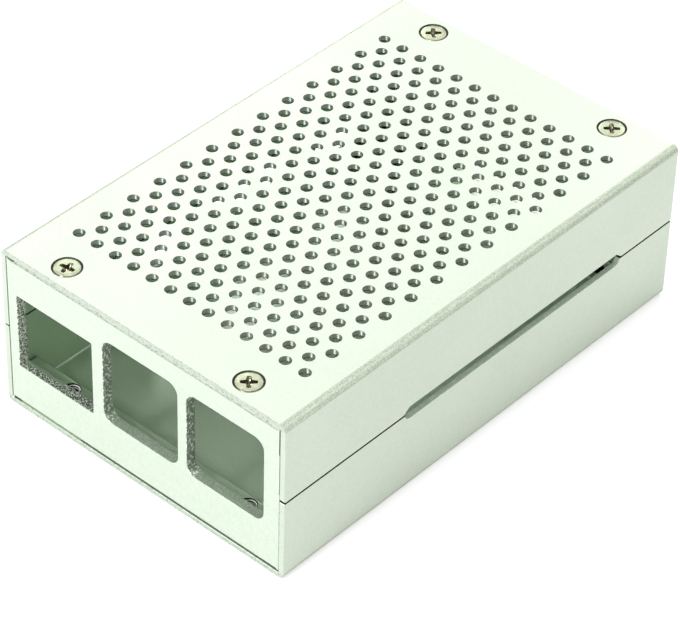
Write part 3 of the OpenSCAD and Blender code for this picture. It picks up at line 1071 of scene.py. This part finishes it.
def front_wall():
    net = round_window(net_x0, net_x1, net_z0, net_z1, net_r, net_steps)
    net.insert(2 * (net_steps + 1), Vector((tear_x, net_z0)))
    torn_rim = window_rim[:3] + [(0, tear_depth)] + window_rim[3:]
    edges = [(end_wall, wall_rim, seam_finish(end_wall)), (net, torn_rim, net_finish(net))]
    for shift in (0.0, data_pitch):
        data = round_window(data_x0 + shift, data_x1 + shift, data_z0, data_z1, data_r, steps=10)
        edges.append((data, window_rim, data_finish(data)))
    bm = new_blank()
    add_plate(bm, edges, lambda x, z, d: (x * mm, (-face_y - d) * mm, z * mm))
    foot_rail(bm, -1, -frame_half_w, frame_half_w, (-screw_x, screw_x))
    head_rail(bm, -1)
    return blank_object("front_wall", bm)


def frame_tree(metals):
    t = Tree("set_frame_metals", [])
    return t.finish(t.given["Geometry"], metals)


frame_metals = frame_tree({OUTER: blasted_frame, INNER: blasted_frame, REVEAL: rough_reveal,
                           THREAD: tapped_thread, GROOVE: frame_groove, MILLED: milled_reveal,
                           TORN: torn_sill, RAIL: frame_rail, GROUND: ground_reveal,
                           SHADED_EDGE: parting_edge})
port_end_frame = run_tree(front_wall(), frame_metals, "port_end_frame")
stand_for(port_end_frame, "front_frame", degrees=50)

# %% [markdown]
# The rear wall is the same wall seen from behind, with one low window for the card. The window cuts
# through most of the foot rail. Instead of a cut, that rail is three simple blocks: a full one on
# each side and a low one under the window, which laps into both.

# %% Rear frame
card_x0, card_x1, card_z0, card_z1, card_r, card_lap = -5.9, 12.4, 2.5, 7.1, 0.8, 0.2


def rear_wall():
    card = round_window(card_x0, card_x1, card_z0, card_z1, card_r)
    bm = new_blank()
    edges = [(end_wall, wall_rim, GROOVE), (card, window_rim, GROUND)]
    add_plate(bm, edges, lambda x, z, d: (-x * mm, (face_y + d) * mm, z * mm))
    foot_rail(bm, 1, -frame_half_w, -card_x1, (-screw_x,))
    foot_rail(bm, 1, -card_x0, frame_half_w, (screw_x,))
    foot_rail(bm, 1, -card_x1 - card_lap, -card_x0 + card_lap, (), top=card_z0)
    head_rail(bm, 1)
    return blank_object("rear_wall", bm)


card_end_frame = run_tree(rear_wall(), frame_metals, "card_end_frame")
stand_for(card_end_frame, "rear_frame", degrees=50)

# %% [markdown]
# A countersunk screw is a turned part with a cross pressed into its head. The head is a disc with
# a cross-shaped hole, and the cross narrows downwards to a point. A profile wound by a Screw
# modifier would leave open ends, so the thread is a lathe grid whose radius follows a winding
# saw-tooth. The chamfer round the head takes the recess's painted shade, which draws the thin dark
# ring round every head.

# %% One screw
SCREW_FACE, SCREW_SHADE = 0, 1
screw_sides, screw_length, plain_length, head_r = 32, 5.0, 1.5, 2.14
head_turns = [(2.24, -0.06), (2.26, -0.1), (1.22, -1.22)]
recess_steps = [(1.03, 0.0), (1.0, -0.04), (0.84, -0.35), (0.55, -0.75)]
recess_tip = -0.95
thread_r, thread_depth, thread_pitch, thread_top, shank_end_r = 1.24, 0.2, 0.45, -1.3, 0.95


def cross_outline(arm=1.28, half=0.43, taper=0.75, fillet=0.12, bulge=0.06, ease=0.03):
    tip = half * taper
    quarter = [(arm, -tip), (arm + bulge, 0.0), (arm, tip), (half + fillet, half),
               (half + ease, half + ease), (half, half + fillet)]
    points = []
    for c, s in ((1, 0), (0, 1), (-1, 0), (0, -1)):
        points += [Vector((c * x - s * y, s * x + c * y)) for x, y in quarter]
    return list(reversed(points))


def ring_at(bm, points, z):
    return [bm.verts.new((p.x * mm, p.y * mm, z * mm)) for p in points]


def thread_ring(z):
    points = []
    for k, p in enumerate(circle(0, 0, 1.0, screw_sides, way=1)):
        wind = (z / thread_pitch - k / screw_sides) % 1.0
        points.append(p * (thread_r - thread_depth * abs(wind * 2 - 1)))
    return points


def screw_pattern():
    bm = new_blank()
    disc, cross = circle(0, 0, head_r, screw_sides, way=1), cross_outline()
    face = ring_at(bm, disc, 0)
    recess = [ring_at(bm, [p * k for p in cross], z) for k, z in recess_steps]
    for ids in fill([disc, [p * recess_steps[0][0] for p in cross]]):
        add_face(bm, [(face + recess[0])[i] for i in ids], SCREW_FACE)
    for upper, lower in zip(recess, recess[1:]):
        bridge(bm, upper, lower, SCREW_SHADE)
    tip = bm.verts.new((0, 0, recess_tip * mm))
    for i in range(len(cross)):
        add_face(bm, (recess[-1][i], tip, recess[-1][(i + 1) % len(cross)]), SCREW_SHADE)
    turned = [face] + [ring_at(bm, circle(0, 0, r, screw_sides, way=1), z) for r, z in head_turns]
    quarter_turns = int((screw_length - plain_length) / (thread_pitch / 4))
    for k in range(quarter_turns + 1):
        z = thread_top - k * thread_pitch / 4
        turned.append(ring_at(bm, thread_ring(z), z))
    turned.append(ring_at(bm, circle(0, 0, shank_end_r, screw_sides, way=1), -screw_length))
    for upper, lower in zip(turned, turned[1:]):
        bridge(bm, upper, lower, SCREW_SHADE if upper is face else SCREW_FACE)
    add_face(bm, list(reversed(turned[-1])), SCREW_SHADE)
    return blank_object("screw_pattern", bm)


one_screw = screw_pattern()
print("faces of one screw:", len(one_screw.data.polygons))

# %% [markdown]
# Screws are set by marking, as on a bench: a mesh of bare points holds the places, and an attribute
# called turn holds the angle of each one, because no two crosses end up at the same angle. The tree
# puts the pattern on every point, so a new screw is a new point and not a new model. Tip over turns
# the whole set upside down for the floor.

# %% Geometry Nodes: set a pattern on marked spots
head_sunk = 0.07


def pattern_tree(name, metals):
    t = Tree(name, [("Pattern", "Object"), ("Tip over", "Float")])
    turn = t.put("GeometryNodeInputNamedAttribute", {"Name": "turn"}, data_type="FLOAT")
    pose = t.put("ShaderNodeCombineXYZ", {0: t.given["Tip over"], 2: turn})
    return t.finish(t.set_on(t.given["Geometry"], "Pattern", Rotation=pose), metals)


def marked_spots(places, z, turns):
    mesh = bpy.data.meshes.new("marked_spots")
    mesh.from_pydata([(x * mm, y * mm, z * mm) for x, y in places], [], [])
    mesh.attributes.new("turn", "FLOAT", "POINT").data.foreach_set("value", [math.radians(a) for a in turns])
    made = bpy.data.objects.new("marked_spots", mesh)
    scene.collection.objects.link(made)
    return made


def set_pattern(tree, name, pattern, spots, solid, tip_over=0.0):
    piece = run_tree(spots, tree, name, pattern=pattern, tip_over=tip_over)
    stand_for(piece, solid, degrees=40)


screw_tree = pattern_tree("set_screws", {SCREW_FACE: nickel_plate, SCREW_SHADE: recess_plate})
roof_spots = marked_spots(screw_spots, case_h - head_sunk, turns=(8, 45, 42, 40))
set_pattern(screw_tree, "roof_screws", one_screw, roof_spots, "cover_screws")
floor_spots = marked_spots(screw_spots, head_sunk, turns=(70, 12, 33, 55))
set_pattern(screw_tree, "floor_screws", one_screw, floor_spots, "base_screws", tip_over=math.pi)
bpy.data.objects.remove(one_screw)

# %% [markdown]
# The standoffs are six-sided turned posts with a threaded hole, pressed into the floor to carry the
# board. Only one is seen, through the slot. Their corners are chamfered at the top, as on all turned
# hexagon stock: the chamfer grows with the distance from the axis, which a Bevel modifier can't do.
# They are set in the same way as the screws.

# %% Standoffs
post_h, post_flat_r, post_corner_r, post_edge = 7.0, 2.5, 2.887, 0.05
chamfer_share, chamfer_slope = 0.5, 0.35
post_bore_r, bore_end, bore_flare, drill_point = 1.25, 6.9, 0.2, 1.0
shank_r, shank_start, shank_foot, shank_neck = 2.1, 5.0, 7.9, 0.84


def post_chamfer(point, pull):
    cut = post_edge + chamfer_share * (point.length - post_flat_r)
    return [(cut, 0), (0, post_edge + chamfer_slope * cut), (0, post_h - post_edge), (post_edge, post_h)]


def standoff_pattern():
    corners = circle(0, 0, post_corner_r, 6, way=1)
    hexagon = [corners[k].lerp(corners[(k + 1) % 6], s) for k in range(6) for s in (0.0, 0.25, 0.5, 0.75)]
    bore_rim = [(bore_flare, 0), (0, bore_flare), (0, bore_end), (-drill_point, post_h)]
    bore = (circle(0, 0, post_bore_r, 32), bore_rim, THREAD)
    hidden = post_h - post_edge
    shank_rim = [(shank_neck, shank_start), (shank_neck, hidden), (0, hidden),
                 (0, shank_foot - post_edge), (post_edge, shank_foot)]
    shank = (circle(0, 0, shank_r, 32, way=1), shank_rim, OUTER)
    bm = new_blank()
    add_plate(bm, [(hexagon, post_chamfer, OUTER), bore], flat_place, faces=(OUTER, OUTER))
    add_plate(bm, [shank], flat_place, faces=(OUTER, OUTER))
    return blank_object("standoff_pattern", bm)


one_standoff = standoff_pattern()
standoff_tree = pattern_tree("set_standoffs", {OUTER: plated_post, THREAD: recess_plate})
posts = marked_spots(standoff_spots, sheet_t + post_h, turns=(0, 11, 23, 40))
set_pattern(standoff_tree, "hex_standoffs", one_standoff, posts, "board_standoffs")
bpy.data.objects.remove(one_standoff)

# %% [markdown]
# Tapped holes show their thread as bright and dark arcs. Stacked rings would be simpler, but a
# thread climbs: a spiral curve gives the path, and a small diamond swept along it gives the ridge.
# The ridge is painted near white as a painted highlight, and the bore walls near black as painted
# shade. The tree sets one such coil in the free mouth of every bore in the foot rails.

# %% Geometry Nodes: thread turns in the rails
coil_z, coil_r, coil_pitch, coil_turns, coil_ridge = 5.1, 1.30, 0.5, 2.1, 0.11


def thread_tree(metal):
    t = Tree("thread_turns", [("Bore radius", "Float"), ("Pitch", "Float"), ("Turns", "Float"),
                              ("Ridge", "Float")])
    radius, turns = t.given["Bore radius"], t.given["Turns"]
    path = {"Resolution": 32, "Rotations": turns, "Start Radius": radius, "End Radius": radius,
            "Height": t.calc("MULTIPLY", turns, t.given["Pitch"])}
    coil = t.put("GeometryNodeCurveSpiral", path)
    ridge = t.put("GeometryNodeCurvePrimitiveCircle", {"Resolution": 4, "Radius": t.given["Ridge"]})
    swept = t.put("GeometryNodeCurveToMesh", {"Curve": coil, "Profile Curve": ridge, "Fill Caps": True})
    shape = t.put("GeometryNodeInstanceOnPoints", {"Points": t.given["Geometry"], "Instance": swept})
    shape = t.put("GeometryNodeRealizeInstances", {0: shape})
    t.tree.links.new(t.put("GeometryNodeSetMaterial", {"Geometry": shape, "Material": metal}), t.result)
    return t.tree


mouths = marked_spots(screw_spots, coil_z, turns=(0, 0, 0, 0))
rail_threads = run_tree(mouths, thread_tree(thread_crest), "rail_threads", bore_radius=coil_r * mm,
                        pitch=coil_pitch * mm, turns=coil_turns, ridge=coil_ridge * mm)
smooth_round(rail_threads, 30)
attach(rail_threads, "root")

# %% [markdown]
